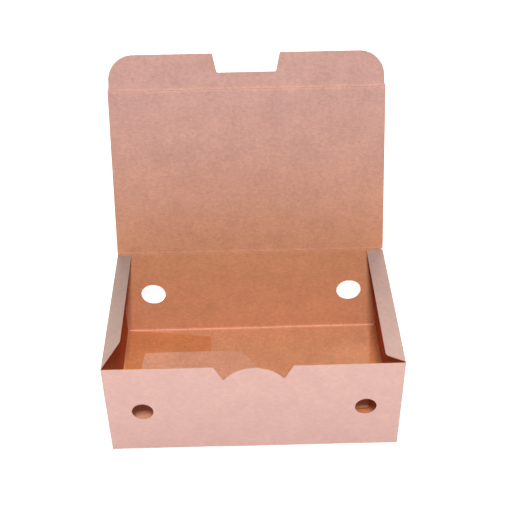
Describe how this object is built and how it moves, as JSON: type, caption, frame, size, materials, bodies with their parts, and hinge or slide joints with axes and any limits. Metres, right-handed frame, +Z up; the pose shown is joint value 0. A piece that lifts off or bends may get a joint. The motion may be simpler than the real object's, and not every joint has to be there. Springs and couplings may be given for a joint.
{
  "type": "takeaway box",
  "caption": "Open takeaway box folded from kraft board, with a hinged lid, tuck flap, dust flaps, round vents and a self-locking bottom.",
  "frame": {"origin": "middle of the base's underside, on the surface the box stands on", "axes": "+Z up, +X to the box's right seen from the front, and the front wall with the tongue faces -Y"},
  "size_m": [0.205, 0.1833, 0.2195],
  "materials": {
    "kraft_board": "matt uncoated kraft"
  },
  "bodies": {
    "tray": {"tray": "kraft_board"},
    "lid": {"lid": "kraft_board"},
    "tuck_flap": {"tuck_flap": "kraft_board"},
    "left_dust_flap": {"left_dust_flap": "kraft_board"},
    "right_dust_flap": {"right_dust_flap": "kraft_board"}
  },
  "joints": [
    {"name": "lid_hinge", "type": "hinge", "parent": "tray", "child": "lid", "pos_m": [0, 0.06275, 0.0804], "axis": [1, 0, 0], "range_deg": [-68.1, 111.9]},
    {"name": "tuck_hinge", "type": "hinge", "parent": "lid", "child": "tuck_flap", "pos_m": [0, 0.10922, 0.19601], "axis": [1, 0, 0], "range_deg": [-15, 93]},
    {"name": "left_dust_hinge", "type": "hinge", "parent": "tray", "child": "left_dust_flap", "pos_m": [-0.102, 0, 0.0795], "axis": [0, 1, 0], "range_deg": [0, 70]},
    {"name": "right_dust_hinge", "type": "hinge", "parent": "tray", "child": "right_dust_flap", "pos_m": [0.102, 0, 0.0795], "axis": [0, -1, 0], "range_deg": [0, 70]}
  ]
}
